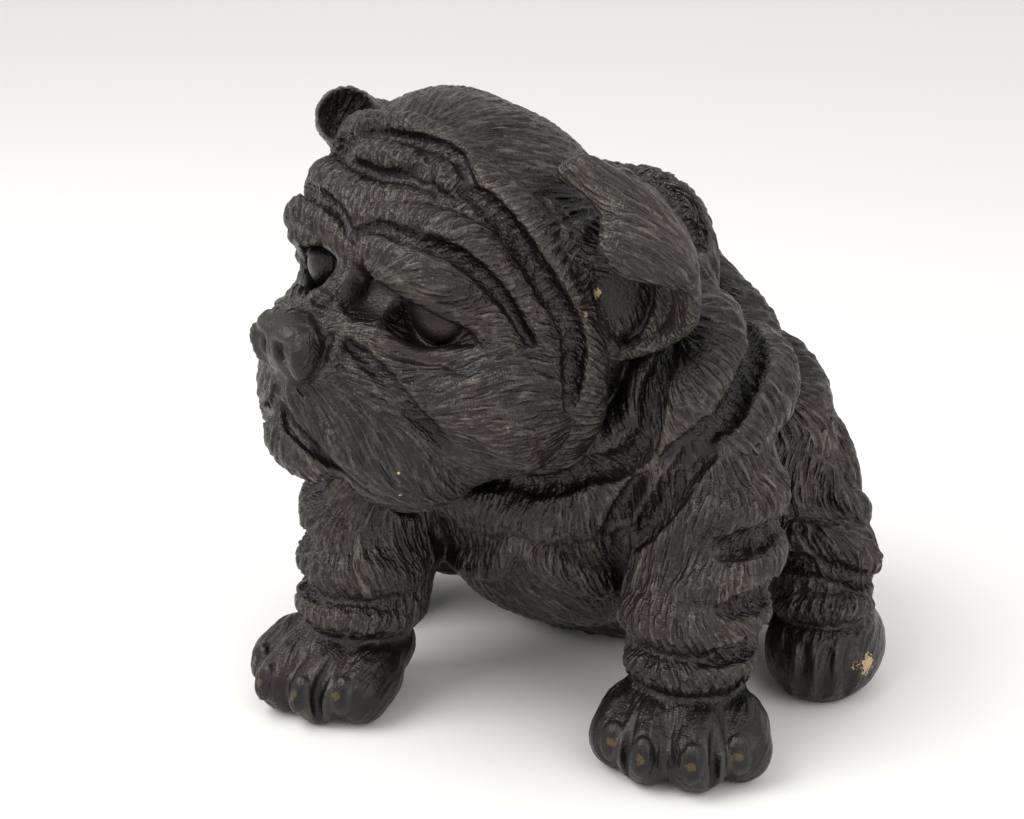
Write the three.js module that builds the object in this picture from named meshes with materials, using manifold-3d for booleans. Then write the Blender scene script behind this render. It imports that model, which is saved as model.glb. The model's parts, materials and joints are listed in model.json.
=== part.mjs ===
// Coin bank in the shape of a seated bulldog puppy: hollow resin castings with a bronze coloured skin.
// Millimetres, +Z up. The dog faces -Y and its left side is +X.
// Every casting is a cluster of ellipsoid masses, as a sculptor blocks out clay. The body is made first,
// then each later casting is cut back from the ones before it by the joint line.

import * as THREE from "three";
import { mergeVertices } from "three/addons/utils/BufferGeometryUtils.js";
import Module from "manifold-3d";

const wasm = await Module();
wasm.setup();

// Driving dimensions of the castings.
const BODY_WIDTH = 120;
const BODY_LENGTH = 132;
const BODY_HEIGHT = 168;
const HEAD_WIDTH = 110;
const HEAD_LENGTH = 130;
const HEAD_HEIGHT = 104;
const HEAD_TURN = 30; // degrees, towards the dog's right
const HEAD_NOD = 10; // degrees, nose down
const HEAD_TILT = 5; // degrees, left ear down
const FORELEG_THICKNESS = 50;
const EAR_LENGTH = 58;
const EAR_HOLLOW_DEPTH = 9;
const WALL = 6;
const JOINT_LINE = 0.4;

// Coin slot across the nape.
const SLOT_LENGTH = 38;
const SLOT_WIDTH = 5;
const SLOT_SETBACK = 11; // behind the middle of the nape

// Closure in the seat.
const PLATE_DIAMETER = 54;
const PLATE_THICKNESS = 3;
const PLATE_LEDGE_WIDTH = 4;
const PLATE_LEDGE_THICKNESS = 4;
const PLUG_DIAMETER = 30;
const PLUG_DEPTH = 9;
const PLUG_TAPER = 0.8;
const FLANGE_OVERHANG = 3.4;
const FLANGE_THICKNESS = 2.6;
const FLANGE_GROUND_CLEARANCE = 1.4;
const FIT_CLEARANCE = 0.3;

// Felt pads, let into the soles of the paws.
const PAD_DIAMETER = 22;
const PAD_THICKNESS = 1.8;
const PAD_PROUD = 0.8;

// Facets around and from pole to pole on large and on small masses, and around the turned pieces.
const LARGE_FACETS = [16, 10];
const SMALL_FACETS = [12, 7];
const LARGE_RADIUS = 30;
const ROUND_FACETS = 36;

// The clay model that the mass tables describe: width, length and height of its body and of its head.
const CLAY_BODY = new THREE.Vector3(120, 132, 168);
const CLAY_HEAD = new THREE.Vector3(110, 130, 104);
const CLAY_FORELEG_THICKNESS = 50;
const CLAY_EAR_LENGTH = 58;

const bodyScale = new THREE.Vector3(BODY_WIDTH, BODY_LENGTH, BODY_HEIGHT).divide(CLAY_BODY);
const headScale = new THREE.Vector3(HEAD_WIDTH, HEAD_LENGTH, HEAD_HEIGHT).divide(CLAY_HEAD);
const forelegScale = FORELEG_THICKNESS / CLAY_FORELEG_THICKNESS;
const earScale = EAR_LENGTH / CLAY_EAR_LENGTH;

// Masses of the clay model: centre and half sizes. Those marked hollow are cored out by the wall.
const CHEST = { at: [0, -14, 82], size: [52, 42, 50], hollow: true };
const BREAST = { at: [-2, 0, 50], size: [50, 38, 34], hollow: true };
const ABDOMEN = { at: [0, 30, 74], size: [58, 44, 44], hollow: true };
const RUMP = { at: [0, 46, 38], size: [58, 44, 40], hollow: true };
const SEAT = { at: [0, 42, 18], size: [56, 44, 26] };
const NAPE = { at: [-2, 10, 120], size: [44, 36, 48], hollow: true };
const WITHERS = { at: [0, 24, 96], size: [60, 32, 38], hollow: true };
const BACK_ROLL = { at: [34, 46, 72], size: [38, 28, 30] };
const THIGH = { at: [59, 42, 47], size: [27, 35, 43] };
const KNEE = { at: [82, 22, 34], size: [17, 20, 17] };
const HIND_PAW = { at: [81, 12, 15], size: [20, 25, 19] };
const TAIL = { at: [4, 90, 34], size: [10, 12, 10] };

const SHOULDER = { at: [46, -24, 86], size: [25, 27, 34] };
const UPPER_ARM = { at: [51, -34, 60], size: [24, 25, 28] };
const FOREARM = { at: [54, -43, 34], size: [21, 22, 22] };
const LEFT_PAW = { at: [53, -55, 15], size: [27, 28, 19], turn: -12 };
const RIGHT_PAW = { at: [60, -55, 15], size: [25, 28, 19], turn: -12 };

// The head's masses are in its own frame, turned about this place on the clay model.
const HEAD_PLACE = [-20, -30, 142];
const SKULL = { at: [-4, 2, 6], size: [52, 46, 44], hollow: true };
const JOWLS = { at: [0, -4, -18], size: [55, 44, 36], hollow: true };
const MUZZLE = { at: [0, -46, -14], size: [33, 29, 27], hollow: true };
const FLEW = { at: [20, -42, -30], size: [21, 28, 27] };
const BROW = { at: [20, -32, 17], size: [16, 16, 13] };
const NOSE = { at: [0, -72, -2], size: [13, 8, 12] };
const LEFT_EAR = { at: [57, 9, 13], size: [13, 17, 29], tilt: -24 };
const RIGHT_EAR = { at: [-56, 2, 24], size: [13, 17, 27], tilt: 24 };

const metal = (colour, roughness) => ({ color: colour, roughness, metalness: 0.6 });
const BRONZE = metal(0x2b2925, 0.45);
const BRONZE_WORN = metal(0x35312a, 0.42);
const BASE_BLACK = { color: 0x1c1b1a, roughness: 0.7, metalness: 0 };
const RUBBER_BLACK = { color: 0x141414, roughness: 0.8, metalness: 0 };
const FELT_BLACK = { color: 0x191918, roughness: 0.95, metalness: 0 };

const LEFT_FORELEG = [SHOULDER, UPPER_ARM, FOREARM, LEFT_PAW];
const RIGHT_FORELEG = [SHOULDER, UPPER_ARM, FOREARM, RIGHT_PAW];
const HIND_LEG = [THIGH, KNEE, HIND_PAW];

const mirrored = (mass) => ({
  ...mass,
  at: [-mass.at[0], mass.at[1], mass.at[2]],
  turn: -(mass.turn ?? 0),
});
const bothSides = (mass) => [mass, mirrored(mass)];
const placeOnBody = (at) => new THREE.Vector3(...at).multiply(bodyScale);

function toSolid(geometry) {
  const bare = geometry.index ? geometry.clone() : geometry;
  bare.deleteAttribute("normal");
  bare.deleteAttribute("uv");
  const merged = mergeVertices(bare, 1e-4);
  const vertProperties = new Float32Array(merged.attributes.position.array);
  const triVerts = new Uint32Array(merged.index.array);
  return new wasm.Manifold(new wasm.Mesh({ numProp: 3, vertProperties, triVerts }));
}

function toGeometry(solid) {
  const { vertProperties, triVerts } = solid.getMesh();
  const geometry = new THREE.BufferGeometry();
  geometry.setAttribute("position", new THREE.BufferAttribute(vertProperties, 3));
  geometry.setIndex(new THREE.BufferAttribute(triVerts, 1));
  geometry.computeVertexNormals();
  return geometry;
}

// One ellipsoid in the body's frame, its half sizes grown by the given amount.
function ellipsoid({ at, size, turn = 0, tilt = 0 }, scale, grow) {
  const facets = Math.max(...size) > LARGE_RADIUS ? LARGE_FACETS : SMALL_FACETS;
  const half = size.map((value, axis) => value * scale.getComponent(axis) + grow);
  const centre = new THREE.Vector3(...at).multiply(scale);
  return new THREE.SphereGeometry(1, ...facets)
    .rotateX(Math.PI / 2)
    .scale(...half)
    .rotateY(THREE.MathUtils.degToRad(tilt))
    .rotateZ(THREE.MathUtils.degToRad(turn))
    .translate(centre.x, centre.y, centre.z);
}

const unite = (solids) => solids.reduce((sum, solid) => sum.add(solid));
const headFrame = new THREE.Matrix4()
  .makeRotationFromEuler(new THREE.Euler(
    THREE.MathUtils.degToRad(HEAD_NOD),
    THREE.MathUtils.degToRad(HEAD_TILT),
    THREE.MathUtils.degToRad(-HEAD_TURN),
    "ZXY",
  ))
  .setPosition(placeOnBody(HEAD_PLACE));

const bodyCluster = (masses, grow) =>
  unite(masses.map((mass) => toSolid(ellipsoid(mass, bodyScale, grow))));
const headCluster = (masses, grow) =>
  unite(masses.map((mass) => toSolid(ellipsoid(mass, headScale, grow).applyMatrix4(headFrame))));

function cylinder(diameter, bottom, top, x, y) {
  const length = top - bottom;
  const geometry = new THREE.CylinderGeometry(diameter / 2, diameter / 2, length, ROUND_FACETS)
    .rotateX(Math.PI / 2)
    .translate(x, y, bottom + length / 2);
  return toSolid(geometry);
}

function block(sizeX, sizeY, sizeZ, x, y, z) {
  return toSolid(new THREE.BoxGeometry(sizeX, sizeY, sizeZ).translate(x, y, z));
}

// Everything below the soles is cut away level.
const GROUND = 400;
const belowLevel = (level) => block(GROUND, GROUND, GROUND, 0, 0, level - GROUND / 2);

// Levels of the closure, from the floor up.
const flangeTop = FLANGE_GROUND_CLEARANCE + FLANGE_THICKNESS;
const plateBottom = flangeTop + FIT_CLEARANCE;
const plateTop = plateBottom + PLATE_THICKNESS;
const rebateTop = plateTop + FIT_CLEARANCE;
const chamberFloor = rebateTop + PLATE_LEDGE_THICKNESS;
const padRecessTop = PAD_THICKNESS + FIT_CLEARANCE;
const seat = placeOnBody(SEAT.at);

const bodyMasses = [CHEST, BREAST, ABDOMEN, RUMP, SEAT, NAPE, WITHERS, TAIL, ...bothSides(BACK_ROLL)];
const headMasses = [SKULL, JOWLS, MUZZLE, NOSE, ...bothSides(FLEW), ...bothSides(BROW)];

function padPlace(paw) {
  const { x, y } = placeOnBody(paw.at);
  return [x, y];
}
const padPlaces = {
  pad_left_fore: padPlace(LEFT_PAW),
  pad_right_fore: padPlace(mirrored(RIGHT_PAW)),
  pad_left_hind: padPlace(HIND_PAW),
  pad_right_hind: padPlace(mirrored(HIND_PAW)),
};
const padRecess = (name) =>
  cylinder(PAD_DIAMETER + 2 * FIT_CLEARANCE, -PAD_PROUD, padRecessTop, ...padPlaces[name]);

// The slot drops straight through the wall at the top of the nape, behind the head.
const nape = placeOnBody(NAPE.at);
const napeHeight = NAPE.size[2] * bodyScale.z;
const slotY = nape.y + SLOT_SETBACK;
const coinSlot = block(SLOT_LENGTH, SLOT_WIDTH, napeHeight, nape.x, slotY, nape.z + napeHeight);

function makeBodyCasting() {
  const chamber = bodyCluster(bodyMasses.filter((mass) => mass.hollow), -WALL)
    .subtract(belowLevel(chamberFloor));
  const rebateDiameter = PLATE_DIAMETER + 2 * FIT_CLEARANCE;
  const openingDiameter = PLATE_DIAMETER - 2 * PLATE_LEDGE_WIDTH;
  const rebate = cylinder(rebateDiameter, -PAD_PROUD, rebateTop, seat.x, seat.y);
  const opening = cylinder(openingDiameter, 0, chamberFloor + WALL, seat.x, seat.y);
  return bodyCluster(bodyMasses, 0)
    .subtract(chamber)
    .subtract(coinSlot)
    .subtract(belowLevel(PAD_PROUD))
    .subtract(rebate)
    .subtract(opening);
}

const bodyWithJoint = bodyCluster(bodyMasses, JOINT_LINE);
const headWithJoint = headCluster(headMasses, JOINT_LINE);

function makeHeadCasting() {
  const core = headCluster(headMasses.filter((mass) => mass.hollow), -WALL);
  return headCluster(headMasses, 0).subtract(core).subtract(bodyWithJoint);
}

// An ear is a thick leaf with a cupped front, seated on the head.
function makeEar(ear) {
  const leaf = { ...ear, size: ear.size.map((value) => value * earScale) };
  const cup = {
    ...leaf,
    at: [ear.at[0], ear.at[1] - leaf.size[1], ear.at[2] - EAR_HOLLOW_DEPTH],
    size: [leaf.size[0] - WALL / 2, leaf.size[1] - WALL + EAR_HOLLOW_DEPTH / 2, leaf.size[2] - WALL],
  };
  return headCluster([leaf], 0)
    .subtract(headCluster([cup], 0))
    .subtract(headWithJoint)
    .subtract(bodyWithJoint);
}

const thickened = (mass) => ({
  ...mass,
  size: mass.size.map((value, axis) => (axis < 2 ? value * forelegScale : value)),
});

function makeLeg(masses, side, padName) {
  return bodyCluster(side > 0 ? masses : masses.map(mirrored), 0)
    .subtract(bodyWithJoint)
    .subtract(headWithJoint)
    .subtract(belowLevel(PAD_PROUD))
    .subtract(padRecess(padName));
}

function makeBasePlate() {
  const hole = cylinder(PLUG_DIAMETER, plateBottom - 1, plateTop + 1, seat.x, seat.y);
  return cylinder(PLATE_DIAMETER, plateBottom, plateTop, seat.x, seat.y).subtract(hole);
}

// Turned about its own axis: flange below the plate, tapered plug through it, shallow dish underneath.
function makeStopper() {
  const flange = PLUG_DIAMETER / 2 + FLANGE_OVERHANG;
  const plug = PLUG_DIAMETER / 2 - FIT_CLEARANCE;
  const dishRadius = plug - FLANGE_OVERHANG;
  const dishDepth = FLANGE_THICKNESS / 2;
  const outline = [
    [0, FLANGE_GROUND_CLEARANCE + dishDepth],
    [dishRadius, FLANGE_GROUND_CLEARANCE + dishDepth],
    [dishRadius + dishDepth, FLANGE_GROUND_CLEARANCE],
    [flange, FLANGE_GROUND_CLEARANCE],
    [flange, flangeTop],
    [plug, flangeTop],
    [plug - PLUG_TAPER, flangeTop + PLUG_DEPTH],
    [0, flangeTop + PLUG_DEPTH],
  ].map(([radius, level]) => new THREE.Vector2(radius, level));
  const geometry = new THREE.LatheGeometry(outline, ROUND_FACETS)
    .rotateX(Math.PI / 2)
    .translate(seat.x, seat.y, 0);
  return toSolid(geometry);
}

const makePad = (name) => cylinder(PAD_DIAMETER, 0, PAD_THICKNESS, ...padPlaces[name]);

const bank = new THREE.Group();

function addPiece(name, solid, finish) {
  const mesh = new THREE.Mesh(toGeometry(solid), new THREE.MeshStandardMaterial(finish));
  mesh.name = name;
  bank.add(mesh);
}

addPiece("body_casting", makeBodyCasting(), BRONZE);
addPiece("head_casting", makeHeadCasting(), BRONZE);
addPiece("left_ear", makeEar(LEFT_EAR), BRONZE_WORN);
addPiece("right_ear", makeEar(RIGHT_EAR), BRONZE_WORN);
addPiece("left_foreleg", makeLeg(LEFT_FORELEG.map(thickened), 1, "pad_left_fore"), BRONZE_WORN);
addPiece("right_foreleg", makeLeg(RIGHT_FORELEG.map(thickened), -1, "pad_right_fore"), BRONZE_WORN);
addPiece("left_hind_leg", makeLeg(HIND_LEG, 1, "pad_left_hind"), BRONZE_WORN);
addPiece("right_hind_leg", makeLeg(HIND_LEG, -1, "pad_right_hind"), BRONZE_WORN);
addPiece("base_plate", makeBasePlate(), BASE_BLACK);
addPiece("stopper", makeStopper(), RUBBER_BLACK);
for (const name of Object.keys(padPlaces)) {
  addPiece(name, makePad(name), FELT_BLACK);
}

// The origin is on the floor, under the middle of the whole figure.
const extent = new THREE.Box3().setFromObject(bank, true);
const middle = extent.getCenter(new THREE.Vector3());
bank.position.set(-middle.x, -middle.y, -extent.min.z);

export default bank;
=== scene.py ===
"""Seated bulldog puppy coin bank: cold-cast bronze castings, a base plate, a rubber stopper and felt feet.

The castings are modelled like clay, in millimetres: soft masses are pressed together, skin is rolled and
creased over them, and the finished clay is divided along its creases into the separate castings. Combed
strokes of coat follow a direction that each casting carries on its surface."""

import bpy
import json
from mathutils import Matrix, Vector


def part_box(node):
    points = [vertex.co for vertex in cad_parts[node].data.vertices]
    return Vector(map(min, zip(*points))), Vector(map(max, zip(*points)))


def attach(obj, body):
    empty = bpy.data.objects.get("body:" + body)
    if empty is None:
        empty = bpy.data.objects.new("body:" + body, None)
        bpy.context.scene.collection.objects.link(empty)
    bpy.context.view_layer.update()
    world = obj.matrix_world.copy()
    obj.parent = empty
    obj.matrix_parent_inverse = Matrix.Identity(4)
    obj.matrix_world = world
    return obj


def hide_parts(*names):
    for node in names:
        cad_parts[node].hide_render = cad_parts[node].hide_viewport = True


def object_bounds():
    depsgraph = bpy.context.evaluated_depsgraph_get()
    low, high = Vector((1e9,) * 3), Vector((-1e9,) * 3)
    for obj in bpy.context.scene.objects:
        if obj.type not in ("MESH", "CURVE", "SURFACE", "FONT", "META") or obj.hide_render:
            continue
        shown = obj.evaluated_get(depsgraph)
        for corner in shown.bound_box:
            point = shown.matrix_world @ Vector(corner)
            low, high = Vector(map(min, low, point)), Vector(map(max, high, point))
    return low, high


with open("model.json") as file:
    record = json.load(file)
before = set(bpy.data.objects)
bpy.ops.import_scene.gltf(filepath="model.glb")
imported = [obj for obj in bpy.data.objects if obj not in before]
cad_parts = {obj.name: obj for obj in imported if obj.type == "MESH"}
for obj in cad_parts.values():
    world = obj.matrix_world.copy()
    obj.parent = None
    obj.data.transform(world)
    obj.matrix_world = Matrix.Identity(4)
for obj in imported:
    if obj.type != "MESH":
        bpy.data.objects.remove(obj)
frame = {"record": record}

import copy
import json
import math

import bpy
import numpy as np
from mathutils import Euler, Vector

bl_info = {
    "name": "Bulldog Puppy Coin Bank",
    "version": (1, 0, 0),
    "blender": (4, 5, 0),
    "location": "3D View > Sidebar > Coin Bank",
    "description": "Sculpts a seated puppy coin bank around its packed CAD frame",
    "category": "Add Mesh",
}

CAD_BOX = [list(corner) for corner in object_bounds()]

MM = 0.001
CLAY_SIZE = (201.0, 202.1, 194.6)  # the clay figure's own width, length and height
FLOOR_GAP = 0.8  # the castings stand this far off the floor, on their felt feet
TORSO_PLACE = (0.0, -0.66, 0.0)  # from the clay's own middle to the middle of the figure's box

# the head's own frame: where its middle is, and how far it turns, nods and tilts
HEAD_MIDDLE = (-20.0, -30.0, 142.0)
HEAD_TURN, HEAD_NOD, HEAD_TILT = 30.0, 10.0, 5.0

BANK = "bank"
STOPPER = "stopper"


# ---- Settings ----


def number(name, text, value, **more):
    return bpy.props.FloatProperty(name=name, description=text, default=value, **more)


def length(name, text, value):
    return number(name, text, value, unit="LENGTH", precision=4)


def colour(name, text, value):
    return bpy.props.StringProperty(name=name, description="Colour of " + text, default=value)


class CastingSettings(bpy.types.PropertyGroup):
    """How finely the castings are sculpted, how they are combed and what finish they have."""

    head_grain: number("Head grain", "Spacing of the clay's grid on the head, in millimetres", 0.62)
    torso_grain: number("Torso grain", "Spacing of the clay's grid on the torso, in millimetres", 0.9)
    leg_grain: number("Leg grain", "Spacing of the clay's grid on the legs, in millimetres", 0.66)
    ear_grain: number("Ear grain", "Spacing of the clay's grid on the ears, in millimetres", 0.45)
    most_faces: bpy.props.IntProperty(
        name="Most triangles", description="Triangles that one casting may have", default=190000
    )
    wall: number("Wall", "Thickness of the hollow castings, in millimetres", 6.0)
    joint_gap: number("Joint gap", "Gap between castings, less the filler in it, in millimetres", -1.6)
    stroke_pitch: length("Stroke pitch", "Distance between two combed strokes of coat", 2.2 * MM)
    stroke_length: length("Stroke length", "Length of a combed stroke", 7.0 * MM)
    stroke_depth: length("Stroke depth", "Depth of the combed strokes", 1.1 * MM)
    patina: colour("Patina", "the dark patina", "#161412")
    # dark patina gathered in the creases, plus painted shade in the deep folds between the rolls
    crease_patina_and_shade: colour("Hollows", "the creases", "#0E0D0C")
    # paler crests and stroke tops: rubbed wear, plus a painted highlight
    crest_wear_and_highlight: colour("Ridges", "the rubbed ridges", "#5A554D")
    olive: colour("Olive", "the greenish blooms", "#21201A")
    umber: colour("Umber", "the brownish blooms", "#261D18")
    chips: colour("Chips", "the resin under a chip", "#B09A78")
    gilt: colour("Gilt", "bronze rubbed bare on a claw", "#8A744A")


class FittingSettings(bpy.types.PropertyGroup):
    """Finishes of the base fittings."""

    board: colour("Board", "the base plate", "#1B1A19")
    rubber: colour("Rubber", "the stopper", "#151515")
    felt: colour("Felt", "the felt feet", "#23301F")


class StageSettings(bpy.types.PropertyGroup):
    """Camera, floor and lights."""

    camera_azimuth: number("Azimuth", "Camera's turn from the front", math.radians(21.4), subtype="ANGLE")
    camera_height: number("Elevation", "Camera's height angle", math.radians(19.0), subtype="ANGLE")
    camera_distance: length("Distance", "From the camera to its aim", 0.62)
    lens: number("Lens", "Focal length, in millimetres", 71.93)
    floor: colour("Floor", "the floor", "#F0EEEB")
    key_power: number("Key light", "Power of the key light, in watts", 11.0)
    fill_power: number("Fill light", "Power of the fill light, in watts", 5.0)


# ---- Clay ----


def turned(yaw=0.0, pitch=0.0, roll=0.0):
    """Axes yawed towards the figure's right, pitched nose down and rolled left side down, in degrees."""
    euler = Euler((math.radians(pitch), 0.0, -math.radians(yaw)), "XYZ")
    tip = Euler((0.0, math.radians(roll), 0.0), "XYZ")
    return np.array(euler.to_matrix() @ tip.to_matrix())


class Block:
    """A block of clay: distances to its surface, in millimetres, on a regular grid."""

    FAR = 30.0

    def __init__(self, low, high, grain):
        self.low = np.array(low, float)
        self.grain = grain
        self.count = np.ceil((np.array(high) - self.low) / grain).astype(int) + 1
        self.axes = [(self.low[i] + grain * np.arange(self.count[i])).astype(np.float32) for i in range(3)]
        self.value = np.full(self.count, self.FAR, np.float32)

    def filled(self, value):
        """A block on the same grid, with other distances."""
        other = copy.copy(self)
        other.value = value
        return other

    def near(self, low, high):
        """The part of the grid between two corners, or None."""
        first = np.clip(np.floor((np.array(low) - self.low) / self.grain).astype(int), 0, self.count - 1)
        last = np.clip(np.ceil((np.array(high) - self.low) / self.grain).astype(int) + 1, 1, self.count)
        if (last <= first).any():
            return None
        return tuple(slice(first[i], last[i]) for i in range(3))

    def places(self, part):
        x, y, z = (axis[cut] for axis, cut in zip(self.axes, part))
        return x[:, None, None], y[None, :, None], z[None, None, :]

    def at(self, points):
        """Distances at some points, read between the grid's own."""
        place = np.clip((points - self.low) / self.grain, 0, self.count - 1.001)
        cell = place.astype(int)
        share = place - cell
        total = np.zeros(len(points))
        for corner in np.ndindex(2, 2, 2):
            weight = np.prod(np.where(corner, share, 1 - share), axis=1)
            total += weight * self.value[tuple((cell + corner).T)]
        return total

    def slope(self, points, reach):
        """Outward directions at some points."""
        steps = np.eye(3) * reach
        out = np.stack([self.at(points + step) - self.at(points - step) for step in steps], axis=1)
        return out / np.maximum(np.linalg.norm(out, axis=1, keepdims=True), 1e-9)


def soft_least(a, b, blend):
    """The lesser of two distances, with a fillet of the given width where they meet."""
    blend = np.float32(max(blend, 1e-4))
    meet = np.maximum(blend - np.abs(a - b), 0) / blend
    return np.minimum(a, b) - meet * meet * blend * np.float32(0.25)


def egg(block, middle, size, axes, reach):
    """Distances to an egg-shaped mass, and the part of the grid they cover."""
    span = np.abs(axes) @ size + reach
    part = block.near(middle - span, middle + span)
    if part is None:
        return None, None
    x, y, z = block.places(part)
    x, y, z = x - np.float32(middle[0]), y - np.float32(middle[1]), z - np.float32(middle[2])
    turn = axes.T.astype(np.float32)
    own = [row[0] * x + row[1] * y + row[2] * z for row in turn]
    near = np.sqrt(sum((own[i] / np.float32(size[i])) ** 2 for i in range(3)))
    steep = np.sqrt(sum((own[i] / np.float32(size[i] ** 2)) ** 2 for i in range(3)))
    return part, near * (near - 1) / np.maximum(steep, np.float32(1e-6))


def rod(block, start, end, start_radius, end_radius, reach):
    """Distances to a round-ended rod, and the part of the grid they cover."""
    span = max(start_radius, end_radius) + reach
    part = block.near(np.minimum(start, end) - span, np.maximum(start, end) + span)
    if part is None:
        return None, None
    x, y, z = block.places(part)
    along = (end - start).astype(np.float32)
    x, y, z = x - np.float32(start[0]), y - np.float32(start[1]), z - np.float32(start[2])
    share = np.clip((x * along[0] + y * along[1] + z * along[2]) / max(float(along @ along), 1e-9), 0, 1)
    away = np.sqrt((x - share * along[0]) ** 2 + (y - share * along[1]) ** 2 + (z - share * along[2]) ** 2)
    return part, away - (np.float32(start_radius) + share * np.float32(end_radius - start_radius))


def smooth_line(points, steps=6):
    """A smooth curve through the points."""
    points = np.array(points, float)
    ends = np.vstack([2 * points[0] - points[1], points, 2 * points[-1] - points[-2]])
    line = []
    for a, b, c, d in zip(ends[:-3], ends[1:-2], ends[2:-1], ends[3:]):
        for t in np.arange(steps) / steps:
            bend = (2 * a - 5 * b + 4 * c - d) * t * t + (3 * b - a - 3 * c + d) * t ** 3
            line.append(0.5 * (2 * b + (c - a) * t + bend))
    line.append(points[-1])
    return np.array(line)


class Form:
    """One mass group of the figure, kept as the list of presses and cuts that make it."""

    SKIN_GRAIN = 1.5
    SKIN_MARGIN = 12.0
    CUT_REACH = 1.5  # how far past its surface a cut or a press is worked in
    PRESS_REACH = 6.0

    def __init__(self):
        self.steps = []
        self.lows = []
        self.highs = []
        self.skin = None

    def add(self, shape, given, blend, cut, low, high):
        """Notes a press or a cut, and for a press also how far it reaches."""
        self.steps.append((shape, given, blend, cut))
        if not cut:
            self.lows.append(low)
            self.highs.append(high)

    def bounds(self):
        return np.min(self.lows, axis=0), np.max(self.highs, axis=0)

    def press(self, block):
        """Works every step into a block of clay."""
        for shape, given, blend, cut in self.steps:
            part, distance = shape(block, *given, blend + (self.CUT_REACH if cut else self.PRESS_REACH))
            if part is None:
                continue
            if cut:
                block.value[part] = -soft_least(-block.value[part], distance, blend)
            else:
                block.value[part] = soft_least(block.value[part], distance, blend)
        return block

    def let_dry(self):
        """Fixes the skin that the next rolls and creases lie on."""
        low, high = self.bounds()
        self.skin = self.press(Block(low - self.SKIN_MARGIN, high + self.SKIN_MARGIN, self.SKIN_GRAIN))


class Hand:
    """Works on a form in a frame of its own, on the figure's left or mirrored to its right."""

    def __init__(self, form, origin=(0, 0, 0), axes=None, side=1):
        self.form = form
        self.origin = np.array(origin, float)
        self.axes = np.eye(3) if axes is None else axes
        self.side = side

    def other(self):
        return Hand(self.form, self.origin, self.axes, -self.side)

    def place(self, points):
        points = np.array(points, float)
        points[..., 0] *= self.side
        return self.origin + points @ self.axes.T

    def lump(self, at, size, blend=6.0, turn=(0, 0, 0), cut=False):
        """Presses an egg-shaped mass on, or scoops one out."""
        own = turned(*turn)
        if self.side < 0:
            mirror = np.diag([-1.0, 1.0, 1.0])
            own = mirror @ own @ mirror
        middle, size, axes = self.place(at), np.array(size, float), self.axes @ own
        span = np.abs(axes) @ size
        self.form.add(egg, (middle, size, axes), blend, cut, middle - span, middle + span)

    def scoop(self, at, size, blend=3.0, turn=(0, 0, 0)):
        self.lump(at, size, blend, turn, cut=True)

    def rods(self, line, radii, blend, cut=False):
        for start, end, first, last in zip(line[:-1], line[1:], radii[:-1], radii[1:]):
            low, high = np.minimum(start, end) - max(first, last), np.maximum(start, end) + max(first, last)
            self.form.add(rod, (start, end, first, last), blend, cut, low, high)

    def on_skin(self, route):
        """A smooth curve through the points, moved onto the form's dried skin, and its outward directions."""
        skin = self.form.skin
        reach = skin.grain * 0.75
        line = smooth_line(self.place(route))
        for _ in range(4):
            line = line - skin.at(line)[:, None] * skin.slope(line, reach)
        return line, skin.slope(line, reach)

    def roll(self, route, radius, sunk=0.5, blend=2.0, ends=0.4, flat=0.35):
        """Lays a roll of skin along a route, sunk by a share of its radius."""
        line, out = self.on_skin(route)
        radii = radius * swell(len(line), ends, flat)
        self.rods(line - out * (radii * sunk)[:, None], radii, blend)

    def crease(self, route, width, depth, blend=1.2, ends=0.3, flat=0.35):
        """Draws a tool along a route, to a depth below the skin."""
        line, out = self.on_skin(route)
        fade = swell(len(line), ends, flat)
        radii = width / 2 * fade
        self.rods(line + out * (radii - depth * fade)[:, None], radii, blend, cut=True)

    def sheet(self, edge_a, edge_b, thickness, bulge=0.0, toward=(0, 0, 1), rungs=14, blend=2.0):
        """Spans a thin leaf between two edges, bulged towards a direction."""
        steps = max(2, rungs // (len(edge_a) - 1))
        line_a = smooth_line(edge_a, steps)
        line_b = smooth_line(edge_b, max(2, rungs // (len(edge_b) - 1)))
        if len(line_b) != len(line_a):
            share = np.linspace(0, len(line_b) - 1, len(line_a))
            rows = np.arange(len(line_b))
            line_b = np.stack([np.interp(share, rows, line_b[:, i]) for i in range(3)], axis=1)
        for a, b in zip(line_a, line_b):
            middle = (a + b) / 2 + np.array(toward, float) * bulge
            rung = self.place(smooth_line([a, middle, b], 3))
            self.rods(rung, np.full(len(rung), thickness / 2), blend)


def swell(count, ends, flat):
    """A width that rises from a share at each end to full over the flat share of a route."""
    along = np.linspace(0, 1, count)
    rise = np.clip(np.minimum(along, 1 - along) / flat, 0, 1)
    return ends + (1 - ends) * np.sin(rise * np.pi / 2)


# ---- The figure ----


COLLAR_CREASE = [(26, 30, 150), (42, 18, 134), (50, 4, 124), (57, -16, 116), (60, -34, 110), (58, -44, 103),
    (53, -50, 95), (47, -54, 84), (39, -55, 75), (30, -52, 66)]


def across(route):
    """A route that starts at the middle, carried over to the other side so that it doesn't fade there."""
    x, y, z = route[1]
    return [(-x, y, z), *route]


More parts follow.
